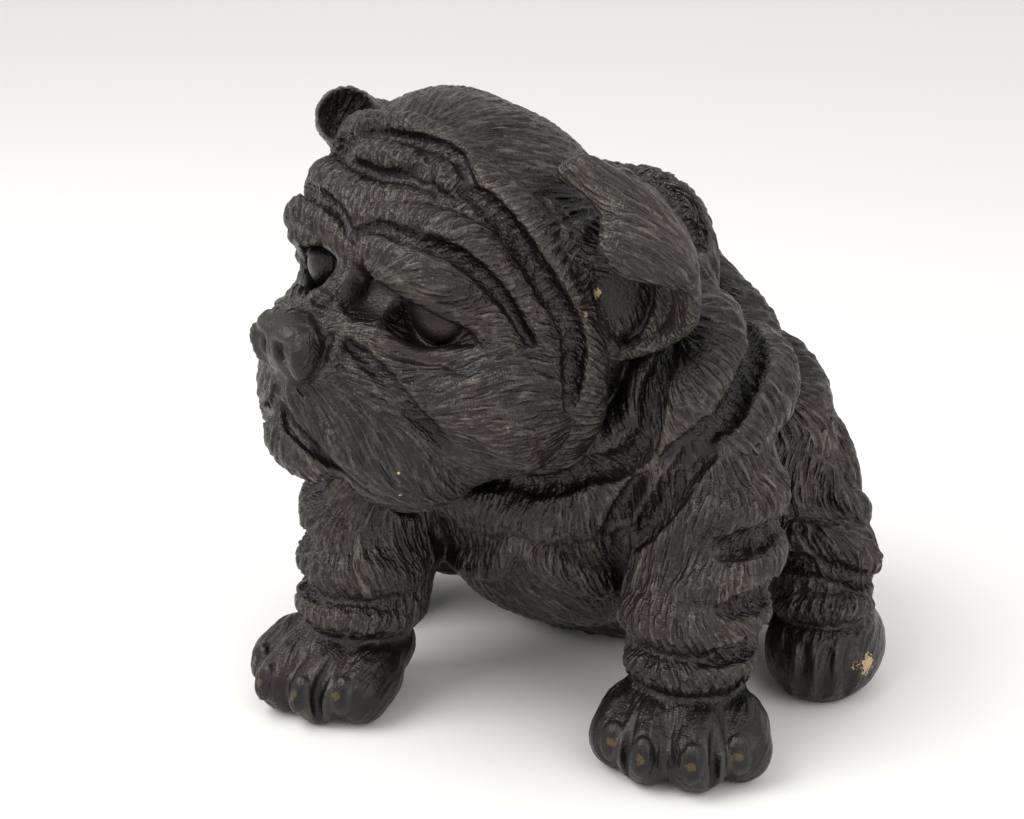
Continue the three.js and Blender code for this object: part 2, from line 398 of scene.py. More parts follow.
def model_torso():
    """Chest, belly, rump, neck rolls and tail."""
    form = Form()
    hand = Hand(form)
    hand.lump((0, -14, 82), (50, 41, 49), 8)  # chest
    hand.lump((0, -2, 50), (46, 37, 33), 8)  # breast
    hand.lump((0, 30, 74), (57, 43, 43), 12)  # belly
    hand.lump((0, 46, 38), (57, 43, 39), 12)  # rump
    hand.lump((0, 42, 20), (50, 40, 24), 10)  # seat
    hand.lump((-2, 10, 120), (43, 35, 47), 12)  # nape
    hand.lump((0, 24, 96), (60, 32, 37), 10)  # withers
    for side in (hand, hand.other()):
        side.lump((34, 46, 72), (38, 28, 30), 6)  # back roll
        side.lump((44, -14, 104), (24, 30, 25), 8)  # shoulder
    hand.lump((4, 86, 32), (11, 14, 12), 6)  # stub of the tail
    hand.lump((-4, 90, 40), (8, 9, 9), 3)
    form.let_dry()
    for side in (hand, hand.other()):
        side.roll([(34, -20, 128), (35, -34, 117), (35, -42, 109), (29, -47, 97), (17, -53, 91),
            (0, -56, 86)], 8, 0.5, 2, flat=0.12)
        side.roll(across([(0, 36, 154), (20, 26, 154), (36, 8, 144), (44, -6, 131), (51, -26, 120),
            (52, -42, 110), (46, -49, 99), (38, -51, 87), (26, -52, 77), (12, -55, 73), (-4, -56, 71)]), 11,
            0.45, 2, flat=0.1)
        side.roll(across([(0, 48, 140), (20, 44, 138), (38, 34, 130), (50, 26, 120), (59, 12, 112),
            (66, -12, 107), (66, -30, 102), (60, -42, 92)]), 12, 0.45, 2, flat=0.12)
        side.roll(across([(0, 66, 112), (24, 64, 110), (44, 58, 102), (60, 46, 94), (68, 36, 88),
            (71, 24, 78), (69, 14, 66), (65, 8, 52)]), 12, 0.4, 2, flat=0.12)
        side.roll(across([(0, 84, 88), (24, 81, 88), (46, 72, 82), (58, 62, 74)]), 12, 0.45, 2.5, flat=0.2)
        side.roll(across([(0, 90, 62), (22, 88, 62), (42, 80, 58)]), 10, 0.6, 3, flat=0.2)
        side.roll([(1, -52, 62), (10, -44, 51), (22, -37, 45), (32, -33, 42)], 5, 0.4, 2.5)
    form.let_dry()
    for side in (hand, hand.other()):
        side.crease([(40, -30, 122), (43, -40, 112), (40, -48, 103), (35, -52, 94), (25, -55, 89),
            (12, -58, 84), (0, -60, 82)], 7, 4, 2, flat=0.15)
        side.crease(COLLAR_CREASE, 8, 4.5, 2, flat=0.12)
        side.crease(across([(0, 58, 128), (24, 56, 124), (44, 48, 114), (58, 36, 106), (67, 20, 101),
            (69, 4, 98), (68, -8, 92)]), 8, 4, 2.4, flat=0.2)
        side.crease(across([(0, 80, 100), (22, 76, 100), (44, 68, 92), (60, 56, 84)]), 8, 4, 2.4)
        side.crease(across([(0, 91, 75), (22, 88, 75), (44, 79, 71)]), 6, 2.5, 2.4)
    valley = smooth_line([(-40, 12, 156), (-20, 22, 163), (0, 25, 166), (14, 22, 163), (28, 13, 155),
        (38, 3, 145)], 4)
    hand.rods(valley, 6.5 * swell(len(valley), 0.5, 0.3), 2, cut=True)
    return form


def model_foreleg(side_sign):
    """Upper arm, ringed leg and paw, on one side."""
    form = Form()
    hand = Hand(form, side=side_sign)
    hand.lump((51, -27, 80), (23, 26, 24), 6)
    hand.lump((54, -35, 64), (21.5, 22, 18), 8)
    hand.lump((53, -41, 48), (21.5, 22, 18), 8)
    hand.lump((54, -45, 32), (20, 21, 13), 6)
    model_paw(forepaw(form, side_sign))
    form.let_dry()
    hand.roll([(60, -58, 80), (68, -48, 80), (74, -34, 80), (76, -22, 82)], 6, 0.6, 4)
    hand.roll([(56, -63, 60), (68, -55, 60), (75, -40, 62), (75, -26, 64)], 6, 0.7, 4)
    hand.roll([(33, -52, 44), (42, -61, 46), (56, -63, 45), (70, -53, 46), (76, -38, 48)], 6, 0.75, 4)
    hand.roll([(34, -58, 31), (46, -66, 33), (58, -67, 32), (70, -58, 34), (76, -44, 35)], 4.5, 0.45, 2)
    form.let_dry()
    hand.crease(COLLAR_CREASE[3:], 8, 4.5, 2, flat=0.12)
    hand.crease([(64, -56, 70), (72, -46, 71), (77, -34, 72)], 6, 2, 2.5)
    hand.crease([(66, -58, 53), (73, -48, 54), (77, -38, 55)], 6, 2, 2.5)
    hand.crease([(62, -64, 38), (72, -54, 40), (77, -42, 41)], 5, 1.6, 2)
    return form


def forepaw(form, side):
    """The frame of a forepaw; the right one stands further out and turns out more."""
    return Hand(form, (54 if side > 0 else -60, -54, 0), turned(-8 if side > 0 else 20), side)


TOES = ((-17.5, -6, 18, 9.0), (-7.5, -14, 6, 9.6), (7, -15, -5, 10.2), (19, -6, -20, 9.6))


def model_paw(hand):
    """Four round toes with oval claws, in the paw's own frame."""
    hand.lump((0, 5, 16), (20, 22, 13), 4)
    for x, y, turn, radius in TOES:
        hand.lump((x * 0.9, y + 5, 12.5), (radius, 14, 11.5), 1.6, (turn, 18, 0))
        hand.lump((x, y - 2, 10), (radius, 9.5, 10), 1.4)
    for (x, y, _, radius), (next_x, next_y, _, _) in zip(TOES[:-1], TOES[1:]):
        gap_x, gap_y = (x + next_x) / 2, (y + next_y) / 2
        line = hand.place(smooth_line([(gap_x * 0.95, gap_y - 1, 25), (gap_x, gap_y - 7, 20),
            (gap_x, gap_y - 12, 12), (gap_x, gap_y - 11, 2)], 4))
        hand.rods(line, 1.3 * swell(len(line), 0.3, 0.5), 2.0, cut=True)
    for x, y, turn, radius in TOES:
        hand.lump((x * 1.02, y - 10.6, 12.5), (3.7, 2.6, 6.2), 0.5, (turn, -16, 0))


def model_hind_leg(side_sign):
    """Thigh, pointed knee fold, shin and hind paw, on one side."""
    form = Form()
    hand = Hand(form, side=side_sign)
    hand.lump((59, 42, 47), (26, 34, 41), 6)
    hand.lump((78, 24, 40), (17, 22, 15), 6)
    hand.lump((80, 16, 30), (16, 17, 9), 5)
    hand.lump((82, 14.5, 13), (19, 27, 17), 3)
    form.let_dry()
    hand.roll([(66, 8, 50), (74, 10, 51), (84, 12, 49), (92, 15, 45), (97, 22, 41)], 5.5, 0.35, 2, flat=0.2)
    hand.roll([(72, 26, 68), (80, 28, 60), (85, 34, 54), (86, 46, 50)], 6, 0.5, 3)
    hand.roll([(66, 6, 27), (74, 0, 30), (84, -2, 31), (92, 4, 31), (97, 14, 29)], 4.5, 0.5, 2)
    hand.crease([(66, 8, 42), (74, 6, 43), (84, 8, 42), (93, 13, 38), (98, 22, 35)], 4, 2.5, 2.5)
    hand.crease([(70, 54, 84), (77, 46, 76), (81, 36, 68), (84, 28, 63)], 8, 2, 2.4)
    for x, y in ((74, -9), (81, -12), (88, -11), (95, -5)):
        hand.crease([(x - 1, y + 4, 22), (x, y, 17), (x, y, 9), (x, y + 2, 3)], 4, 0.7, 2)
    return form


def model_head():
    """Skull, jowls and muzzle, the brow rolls, the eyes and the nose."""
    form = Form()
    middle = head_hand(form)
    sides = (middle, middle.other())
    middle.lump((-5, -1, 6), (52, 44, 43), 8)
    middle.lump((-19, 2, 32), (18, 22, 17), 8)
    middle.lump((0, -4, -18), (54, 43, 35), 10)
    middle.lump((0, -44, -16), (33, 29, 27), 10)
    for side in sides:
        side.lump((20, -42, -30), (21, 28, 27), 8)
        side.lump((36, -22, -22), (22, 24, 26), 8)
        side.lump((20, -30, 18), (17, 16, 13), 8)
    middle.lump((-2, -66, -33), (18, 13, 13), 4)  # chin
    form.let_dry()
    for side in sides:
        side.scoop((12, -51, 13), (13, 10.5, 8.5), 3, (0, 0, 12))
        side.scoop((28, -43, 6.5), (14, 10, 10), 2.5)
        # brow rolls
        side.roll([(-4, -47, 17), (1, -46, 20), (9, -44, 23), (25, -44, 24), (34, -40, 19), (37, -33, 12),
            (42, -28, 4), (45, -26, -6)], 6.0, 0.25, 1.4, flat=0.25)
        side.roll([(-6, -41, 26), (0, -39, 28), (12, -36, 31), (24, -33, 31), (32, -28, 27), (37, -24, 21),
            (43, -20, 11), (48, -17, 1), (51, -18, -8)], 5.6, 0.3, 1.4, flat=0.2)
        # rings of skin from the crown down behind the cheek
        side.roll([(18, -16, 43), (31, -14, 36), (41, -10, 26), (47, -8, 12), (51, -6, 2), (54, -5, -9),
            (55, -8, -22), (52, -9, -32), (46, -12, -43), (37, -17, -53)], 6.5, 0.3, 1.6, flat=0.12)
        side.roll([(42, -1, 34), (49, -2, 22), (52, -2, 10), (54, 0, 0), (55, 4, -9), (54, 9, -17)], 4.5,
            0.3, 1.8)
        side.scoop((55, 10, 6), (7, 10, 18), 2.5)
        side.roll([(30, -60, -6), (38, -48, -14), (46, -34, -22), (48, -26, -34)], 6, 0.6, 3)
    # lens-shaped fold on the brow, with a drop beside it
    middle.roll([(-20, -25, 39), (-12, -26, 41), (-3, -26, 43), (9, -24, 43)], 4.4, 0.25, 1.2)
    middle.roll([(13, -22, 43), (18, -22, 40), (23, -22, 36)], 3.6, 0.15, 1.2)
    middle.roll([(-24, -17, 42), (-10, -15, 47), (5, -15, 48), (15, -13, 46), (24, -12, 42)], 4, 0.3, 2)
    middle.roll([(-20, -33, 33), (-12, -35, 33), (-3, -36, 34), (10, -33, 36), (18, -29, 36)], 3.6, 0.3,
        1.6)
    # furrow between the brows
    middle.roll([(-2, -38, 31), (-1, -46, 22), (0, -53, 14), (0, -58, 9)], 5, 0.4, 2)
    form.let_dry()
    for side in sides:
        side.crease([(-3, -44, 22), (9, -42, 27), (23, -42, 29), (31, -37, 27), (38, -29, 20), (44, -24, 8),
            (48, -22, -4)], 4, 1.6, 1.6)
        side.crease([(24, -23, 39), (32, -19, 34), (39, -16, 26), (45, -13, 16), (49, -11, 7),
            (53, -10, -2), (55, -13, -12), (53, -18, -22)], 5.5, 3.0, 2, flat=0.2)
        # eye, lids and the bags below
        side.lump((26, -34, 4.5), (9.6, 9.6, 9.6), 0.6)
        side.roll([(12, -51, 20), (18, -50, 20), (26, -49, 17), (31, -45, 12), (36, -39, 8.5),
            (40, -33, 5.5), (43, -28, 1), (44, -26, -6)], 2.8, 0.1, 1.0, flat=0.2)
        side.roll([(14, -56, 7), (19, -54, 4), (25, -50, 0), (30, -45, -3), (36, -38, -5), (41, -32, -5)],
            2.6, 0.25, 1.2)
        side.roll([(14, -61, 6), (20, -58, 2), (26, -55, -4), (32, -50, -9), (38, -42, -12),
            (42, -34, -12)], 2.8, 0.3, 1.4)
        side.roll([(39, -33, 5), (42, -30, -1), (43, -30, -8)], 2.0, 0.3, 1.0)
        side.crease([(16, -63, 4), (23, -61, 0), (29, -58, -7), (34, -56, -12), (37, -53, -19),
            (40, -48, -28)], 4, 1.5, 1.6, ends=0.5)
    middle.crease([(-22, -21, 42), (-8, -20, 45), (5, -19, 46), (13, -17, 45), (21, -17, 41),
        (28, -19, 37)], 3.6, 1.7, 1.2)
    middle.crease([(-20, -30, 37), (-12, -31, 38), (-3, -32, 39), (10, -29, 41), (16, -27, 39)], 3.2, 1.4,
        1.2)
    # bridge, nose and mouth
    middle.roll([(-14, -57, 8), (-5, -59, 10), (5, -59, 10), (14, -57, 8)], 2.6, 0.3, 1.0)
    middle.roll([(-14, -62, 5), (-5, -64, 8), (6, -64, 8), (15, -61, 5)], 2.6, 0.3, 1.0)
    middle.lump((0, -69, 0.5), (12, 8.5, 9), 2)
    for side in sides:
        side.lump((4.5, -70.5, 5.2), (6.5, 6, 3.4), 1.6)
        side.lump((9.2, -71.5, -1.5), (4.6, 5.6, 7.4), 1.4, (-20, 0, 6))
        side.scoop((3.9, -78.0, 0.5), (1.9, 4.2, 4.2), 0.6, (0, 0, -10))
        side.scoop((6.4, -78.4, 3.0), (2.6, 3.4, 1.3), 0.6, (0, 0, 20))
        side.roll([(11, -68, -9), (14, -66, -3), (14, -63, 5)], 2.2, 0.2, 1.0)
    line = middle.place(smooth_line([(0, -77.8, 3), (0, -78.8, -5), (-1, -79.5, -9), (-3, -77, -15)], 4))
    middle.rods(line, np.full(len(line), 0.9), 0.8, cut=True)
    form.let_dry()
    middle.roll([(2, -80, -9), (4, -77, -15), (10, -75, -20), (17, -73, -26), (24, -70, -33)], 4.5, 0.55, 2)
    middle.roll([(-2, -80, -9), (-5, -78, -15), (-11, -75, -20), (-18, -72, -27)], 4.5, 0.55, 2)
    form.let_dry()
    middle.crease([(-2, -79, -11), (-5, -78, -16), (-3, -77, -21), (4, -76, -25), (10, -74, -29),
        (15, -72, -33), (20, -70, -38), (27, -66, -44)], 3.4, 2.4, 1.0, flat=0.2)
    middle.crease([(-5, -78, -17), (-10, -75, -23), (-16, -72, -30), (-22, -67, -37), (-28, -63, -42)], 3.4,
        2.4, 1.0, flat=0.2)
    return form


def head_hand(form, side=1):
    return Hand(form, HEAD_MIDDLE, turned(HEAD_TURN, HEAD_NOD, HEAD_TILT), side)


EAR_WALL_IN = [(50, 16, 34), (54, 24, 22), (55, 25, 8), (54, 23, -4), (51, 16, -13)]


def ear_wall(hand, edge_in, edge_out):
    """The upright wall of an ear's bowl."""
    hand.sheet(edge_in, edge_out, 3.6, bulge=2.5, toward=(0.3, 0.9, 0.0), rungs=36, blend=1.6)


def ear_floor(hand):
    """The floor of an ear's bowl, against the head."""
    edge_in = [(45, -2, 22), (44, 1, 5), (44, 5, -10)]
    edge_out = [(50, 20, 24), (50, 21, 5), (49, 16, -12)]
    hand.sheet(edge_in, edge_out, 7.0, rungs=18, blend=2.5)


def model_left_ear():
    """A folded-over leaf above a bowl that opens outwards."""
    form = Form()
    hand = head_hand(form)
    front = [(43, 0, 41), (50, 3, 37), (57, 3, 31), (62, -2, 26), (68, -2, 20), (73, 5, 17), (78, 11, 14)]
    back = [(45, 8, 41), (54, 13, 36), (61, 16, 31), (67, 17, 25), (73, 15, 20), (78, 11, 14)]
    hand.sheet(front, back, 4.4, bulge=2.5, toward=(0.6, -0.1, 0.8), rungs=36, blend=1.6)
    ear_wall(hand, EAR_WALL_IN, [(60, 17, 30), (72, 18, 18), (76, 16, 8), (72, 18, -3), (63, 16, -11),
        (55, 9, -15)])
    ear_floor(hand)
    form.let_dry()
    hand.roll([(57, 12, 20), (60, 14, 10), (60, 15, 0), (57, 13, -8)], 2.6, 0.3, 1.4)
    hand.roll([(63, 15, 20), (67, 17, 10), (66, 17, 1)], 2.0, 0.3, 1.4)
    hand.crease([(58, 4, 31), (64, 6, 25), (70, 8, 20)], 3, 1.0, 1.2)
    return form


def model_right_ear():
    """A leaf that curls forwards into a cup, above a bowl like the left one's."""
    form = Form()
    hand = head_hand(form, -1)
    wall_out = [(56, 12, 30), (70, 14, 23), (76, 16, 10), (72, 18, -2), (63, 16, -11), (55, 9, -14)]
    ear_wall(hand, [(50, 14, 28), *EAR_WALL_IN[1:]], wall_out)
    hand.sheet([(44, -2, 38), (50, -4, 36), (57, 2, 30)], [(50, 8, 34), (58, 8, 31), (68, 12, 24)], 4.0,
        bulge=1.5, toward=(0.5, 0, 0.8), rungs=24, blend=1.6)
    hand.lump((50, -9, 37), (11.0, 10.0, 9.8), 3)
    hand.scoop((45.0, -12.8, 40.4), (8.9, 8.9, 8.6), 0.8)
    ear_floor(hand)
    return form


FORMS = {}
CLAY_MARGIN = 3.0  # room left round a casting's clay
LEG_BLEND = 5.0
JOINT_BLENDS = {"head_casting": 2.0, "left_ear": 2.0, "right_ear": 2.0}


def forms():
    """Every mass group of the figure, made once."""
    if not FORMS:
        FORMS["body_casting"] = model_torso()
        for leg, model in (("foreleg", model_foreleg), ("hind_leg", model_hind_leg)):
            FORMS["left_" + leg] = model(1)
            FORMS["right_" + leg] = model(-1)
        FORMS["head_casting"] = model_head()
        FORMS["left_ear"] = model_left_ear()
        FORMS["right_ear"] = model_right_ear()
    return FORMS


def casting_clay(name, grain, gap, wall):
    """The clay of one casting, divided from its neighbours, the whole figure's, and the casting's core."""
    low, high = forms()[name].bounds()
    low, high = low - CLAY_MARGIN, high + CLAY_MARGIN
    low[2] = max(low[2], FLOOR_GAP - 2 * CLAY_MARGIN)
    outside = own = rest = None
    for other, form in forms().items():
        clay = form.press(Block(low, high, grain))
        if outside is None:
            outside = clay.value.copy()
        else:
            outside = soft_least(outside, clay.value, JOINT_BLENDS.get(other, LEG_BLEND))
        if other == name:
            own = clay.value
        else:
            rest = clay.value if rest is None else np.minimum(rest, clay.value)
    floor = FLOOR_GAP - clay.axes[2][None, None, :]
    block = clay.filled(np.maximum(np.maximum(outside, (own - rest) / 2 + gap / 2), floor))
    core = None
    if wall:
        core = clay.filled(block.value + np.float32(wall))
        block.value = np.maximum(block.value, -core.value)
    return block, clay.filled(outside), core


def cut_round(block, middle, radius, low, high):
    """Bores a round opening, between two heights."""
    x, y, z = block.places((slice(None),) * 3)
    away = np.sqrt((x - middle[0]) ** 2 + (y - middle[1]) ** 2) - radius
    bore = np.maximum(away, np.maximum(low - z, z - high))
    block.value = np.maximum(block.value, -bore)


def cut_slot(block, low, high):
    """Cuts a slot upwards from its low corner."""
    x, y, z = block.places((slice(None),) * 3)
    slot = np.maximum(np.maximum(low[0] - x, x - high[0]), np.maximum(low[1] - y, y - high[1]))
    block.value = np.maximum(block.value, -np.maximum(slot, low[2] - z))


# ---- From clay to castings ----


def skin_of(block):
    """Vertices and four-sided faces of a block's surface, faces outwards."""
    value = block.value
    inside = value < 0
    cells = tuple(n - 1 for n in value.shape)
    filled = np.zeros(cells, np.int8)
    for corner in np.ndindex(2, 2, 2):
        filled += inside[tuple(slice(c, c + n) for c, n in zip(corner, cells))]
    mixed = (filled > 0) & (filled < 8)
    number = np.full(cells, -1, np.int32)
    number[mixed] = np.arange(mixed.sum())
    cell = np.argwhere(mixed)
    total = np.zeros((len(cell), 3))
    count = np.zeros(len(cell))
    for axis in range(3):
        step = np.eye(3, dtype=int)[axis]
        for corner in np.ndindex(2, 2, 2):
            if corner[axis]:
                continue
            a = value[tuple((cell + corner).T)]
            b = value[tuple((cell + corner + step).T)]
            crossed = (a < 0) != (b < 0)
            share = a[crossed] / (a[crossed] - b[crossed])
            total[crossed] += cell[crossed] + corner + share[:, None] * step
            count[crossed] += 1
    points = block.low + block.grain * total / count[:, None]
    faces = []
    for axis in range(3):
        step = np.eye(3, dtype=int)
        along, u, v = step[axis], step[(axis + 1) % 3], step[(axis + 2) % 3]
        here = inside[tuple(slice(0, n - a) for n, a in zip(value.shape, along))]
        there = inside[tuple(slice(a, None) for a in along)]
        edge = np.argwhere(here != there)
        edge = edge[(edge @ u > 0) & (edge @ v > 0)]
        edge = edge[((edge @ u) < cells[(axis + 1) % 3]) & ((edge @ v) < cells[(axis + 2) % 3])]
        ring = np.stack([number[tuple((edge - back).T)] for back in (u + v, v, 0 * u, u)], axis=1)
        inward = ~here[tuple(edge.T)]
        ring[inward] = ring[inward][:, ::-1]
        faces.append(ring)
    return whole_shells(points, np.concatenate(faces))


def whole_shells(points, faces, least=0.03):
    """Drops the small loose shells, which are pockets and crumbs left inside the clay."""
    ends = np.concatenate([faces[:, [0, 1]], faces[:, [1, 2]], faces[:, [2, 3]]])
    label = np.arange(len(points))
    while True:
        a, b = label[ends[:, 0]], label[ends[:, 1]]
        joined = label.copy()
        np.minimum.at(joined, a, np.minimum(a, b))
        np.minimum.at(joined, b, np.minimum(a, b))
        joined = joined[joined]
        if (joined == label).all():
            break
        label = joined
    names, count = np.unique(label[faces[:, 0]], return_counts=True)
    kept = faces[np.isin(label[faces[:, 0]], names[count > least * count.max()])]
    used, kept = np.unique(kept, return_inverse=True)
    return points[used], kept.reshape(-1, 4)


def to_frame(points):
    """From the clay's millimetres to the frame's metres, at the size of the CAD model's box."""
    low, high = (np.array(corner) for corner in CAD_BOX)
    scale = (high - low) / (np.array(CLAY_SIZE) * MM)
    scale = np.where(np.abs(scale - 1) < 0.02, 1.0, scale)
    return (points + TORSO_PLACE) * MM * scale


def coat_flow(points, out, line_of):
    """The way the coat is combed: a wanted direction laid onto the surface."""
    wanted = line_of(points)
    wanted = wanted - (wanted * out).sum(1, keepdims=True) * out
    wanted = wanted / np.maximum(np.linalg.norm(wanted, axis=1, keepdims=True), 1e-6)
    return swirled(points, wanted, out)


def head_line(points):
    """Back over the skull from the nose, and down over the cheeks."""
    return points - head_hand(None).place((0, -74, -4))


def ear_line(points):
    """Along the ear, from its root out to its tip."""
    side = 1 if points[:, 0].mean() > HEAD_MIDDLE[0] else -1
    hand = head_hand(None, side)
    return np.tile(hand.place((0.75, 0.2, -0.6)) - hand.origin, (len(points), 1))


def torso_line(points):
    """Away from the head round the neck, and down over the body."""
    away = points - np.array(HEAD_MIDDLE)
    return away / 60 + (0.0, 0.1, -0.8)


def leg_line(points):
    """Down the leg, and forward over the toes."""
    line = np.zeros_like(points)
    line[:, 2] = -1.0
    line[:, 0] = np.sign(points[:, 0]) * 0.12
    line[:, 1] = np.where(points[:, 2] < 24, -0.9, 0.05)
    return line


def swirled(points, line, out, turn=0.32, size=17.0):
    """Turns the combing this way and that over the surface, by up to an angle, in patches of a size."""
    x, y, z = (points / size).T
    angle = turn * (np.sin(x * 1.7 + 2 * np.sin(z * 1.1)) + np.sin(y * 1.3 + z * 1.9 + 1.0) * 0.8)
    aside = np.cross(out, line)
    return line * np.cos(angle)[:, None] + aside * np.sin(angle)[:, None]


def make_object(name, points, faces):
    mesh = bpy.data.meshes.new(name)
    mesh.from_pydata(points, [], faces)
    mesh.update()
    mesh.polygons.foreach_set("use_smooth", np.ones(len(faces), bool))
    piece = bpy.data.objects.new(name, mesh)
    bpy.context.scene.collection.objects.link(piece)
    return piece


def store(mesh, name, kind, values):
    layer = mesh.attributes.new(name, kind, "POINT")
    key = "vector" if kind == "FLOAT_VECTOR" else "value"
    layer.data.foreach_set(key, np.ascontiguousarray(values, np.float32).ravel())


SEAM_DEPTH = 2.6  # how deep a crease or how high a ridge the colouring tells apart: dark patina in a crease, rubbed wear and a painted highlight on a crest
FOLD_DEPTH = 9.0  # how deep a fold between the rolls is darkened with painted shade


def make_casting(name, block, figure, core, line_of, bare, smooth_below):
    """Skins a block of clay into a casting and stores what its coat, its patina and wear, and its painted
    shade and highlight follow.
    """
    points, faces = skin_of(block)
    out = figure.slope(points, 1.5)
    fur = (np.abs(figure.at(points)) < block.grain * 0.8).astype(float)
    for middle, radius in bare:
        away = np.linalg.norm((points - middle) / radius, axis=1)
        fur *= np.clip((away - 0.85) / 0.3, 0, 1)
    if smooth_below:
        fur *= np.clip((points[:, 2] - smooth_below) / 14, 0.3, 1)
    # the creases, where the dark patina gathers
    hollow = np.clip(1 - figure.at(points + out * SEAM_DEPTH) / SEAM_DEPTH, 0, 1)
    fur *= np.clip(1.25 - 1.6 * hollow, 0, 1)
    # painted shade: the deep folds between the rolls are darkened as if shadowed, and this is merged into the
    # crease mask
    shaded = np.clip(1 - figure.at(points + out * FOLD_DEPTH) / FOLD_DEPTH, 0, 1)
    hollow = np.maximum(hollow, 0.95 * shaded - 0.1)
    # crests, which get rubbed wear plus a painted highlight
    ridge = np.clip(1 + figure.at(points - out * SEAM_DEPTH) / SEAM_DEPTH, 0, 1)
    piece = make_object(name + "_sculpt", to_frame(points).tolist(), faces.tolist())
    store(piece.data, "flow", "FLOAT_VECTOR", coat_flow(points, out, line_of))
    store(piece.data, "fur", "FLOAT", fur)
    store(piece.data, "hollow", "FLOAT", hollow)
    store(piece.data, "ridge", "FLOAT", ridge)
    if core is not None:
        thin_inside(piece, np.abs(core.at(points)) < np.abs(figure.at(points)))
    return piece


def thin_inside(piece, inner):
    """Thins the faces of a casting's hollow, which needs no detail."""
    group = piece.vertex_groups.new(name="inside")
    group.add(np.flatnonzero(inner).tolist(), 1.0, "REPLACE")
    thin = piece.modifiers.new("Thin inside", "DECIMATE")
    thin.ratio = 1 - 0.85 * float(inner.mean())
    thin.vertex_group = group.name
    thin.vertex_group_factor = 10.0
    bake_modifiers(piece)
    piece.vertex_groups.clear()


def thin_to(piece, most):
    """Thins a piece evenly, where it has more triangles than the most allowed."""
    count = sum(len(face.vertices) - 2 for face in piece.data.polygons)
    if count > most:
        thin = piece.modifiers.new("Thin", "DECIMATE")
        thin.ratio = most / count
        bake_modifiers(piece)


def bake_modifiers(piece):
    """Turns a piece and its modifiers into a plain mesh."""
    graph = bpy.context.evaluated_depsgraph_get()
    graph.update()
    mesh = bpy.data.meshes.new_from_object(piece.evaluated_get(graph), depsgraph=graph)
    old = piece.data
    piece.modifiers.clear()
    piece.data = mesh
    bpy.data.meshes.remove(old)


# ---- Nodes ----


def linear(colour):
    """A #RRGGBB colour as linear red, green, blue and alpha."""
    channels = [int(colour[i:i + 2], 16) / 255 for i in (1, 3, 5)]
    return (*(c / 12.92 if c <= 0.04045 else ((c + 0.055) / 1.055) ** 2.4 for c in channels), 1.0)


def give(tree, socket, value):
    """Sets a socket's value, or links it to another socket."""
    if isinstance(value, bpy.types.NodeSocket):
        tree.links.new(value, socket)
    else:
        socket.default_value = value


def add(tree, kind, links=None, **settings):
    """Adds a node with its settings, its input values and its links."""
    node = tree.nodes.new(kind)
    for key, value in settings.items():
        setattr(node, key, value)
    for key, value in (links or {}).items():
        give(tree, node.inputs[key], value)
    return node


def calc(tree, operation, *values, **settings):
    """The result of a math node."""
    return add(tree, "ShaderNodeMath", dict(enumerate(values)), operation=operation, **settings).outputs[0]


def ramp(tree, value, low, high, to_low=0.0, to_high=1.0):
    """A value carried from one range to another and held at its ends."""
    ends = {"Value": value, "From Min": low, "From Max": high, "To Min": to_low, "To Max": to_high}
    return add(tree, "ShaderNodeMapRange", ends).outputs[0]


def noise(tree, place, size, detail, distortion=0.0):
    """Noise with lumps of a size, in metres."""
    given = {"Vector": place, "Scale": 1 / size, "Detail": detail, "Distortion": distortion}
    return add(tree, "ShaderNodeTexNoise", given).outputs[0]


def streaks(tree, place, flow, scale, reach, taps):
    """Streaks along a direction: the sum of the noise at several places in line."""
    total = None
    for i in range(taps):
        share = calc(tree, "MULTIPLY", reach, i / (taps - 1) - 0.5)
        along = add(tree, "ShaderNodeVectorMath", {0: flow, 3: share}, operation="SCALE")
        spot = add(tree, "ShaderNodeVectorMath", {0: place, 1: along.outputs[0]}, operation="ADD")
        given = {"Vector": spot.outputs[0], "Scale": scale, "Detail": 0.0}
        tap = add(tree, "ShaderNodeTexNoise", given).outputs[0]
        total = tap if total is None else calc(tree, "ADD", total, tap)
    return total


def comb_tree():
    """Geometry Nodes that comb strokes into a coat, along its flow and as deep as its fur value says."""
    name = "Comb strokes"
    if name in bpy.data.node_groups:
        return bpy.data.node_groups[name]
    tree = bpy.data.node_groups.new(name, "GeometryNodeTree")
    face = tree.interface
    face.new_socket("Geometry", in_out="INPUT", socket_type="NodeSocketGeometry")
    for label in ("Pitch", "Length", "Depth"):
        socket = face.new_socket(label, in_out="INPUT", socket_type="NodeSocketFloat")
        socket.subtype = "DISTANCE"
    face.new_socket("Material", in_out="INPUT", socket_type="NodeSocketMaterial")
    face.new_socket("Geometry", in_out="OUTPUT", socket_type="NodeSocketGeometry")
    given = tree.nodes.new("NodeGroupInput").outputs
    flow = add(tree, "GeometryNodeInputNamedAttribute", {"Name": "flow"}, data_type="FLOAT_VECTOR").outputs[0]
    fur = add(tree, "GeometryNodeInputNamedAttribute", {"Name": "fur"}, data_type="FLOAT").outputs[0]
    place = tree.nodes.new("GeometryNodeInputPosition").outputs[0]
    out = tree.nodes.new("GeometryNodeInputNormal").outputs[0]
    taps = 9
    total = streaks(tree, place, flow, calc(tree, "DIVIDE", 1.3, given["Pitch"]), given["Length"], taps)
    kept = calc(tree, "MULTIPLY", ramp(tree, total, taps * 0.41, taps * 0.59, -0.6, 0.4), fur)
    deep = calc(tree, "MULTIPLY", kept, given["Depth"])
    push = add(tree, "ShaderNodeVectorMath", {0: out, 3: deep}, operation="SCALE").outputs[0]
    coat = add(tree, "GeometryNodeSetPosition", {"Geometry": given["Geometry"], "Offset": push}).outputs[0]
    coat = add(tree, "GeometryNodeStoreNamedAttribute", {"Geometry": coat, "Name": "stroke", "Value": kept},
               data_type="FLOAT", domain="POINT").outputs[0]
    coat = add(tree, "GeometryNodeRealizeInstances", {"Geometry": coat}).outputs[0]
    coat = add(tree, "GeometryNodeSetMaterial", {"Geometry": coat, "Material": given["Material"]}).outputs[0]
    add(tree, "NodeGroupOutput", {"Geometry": coat})
    return tree


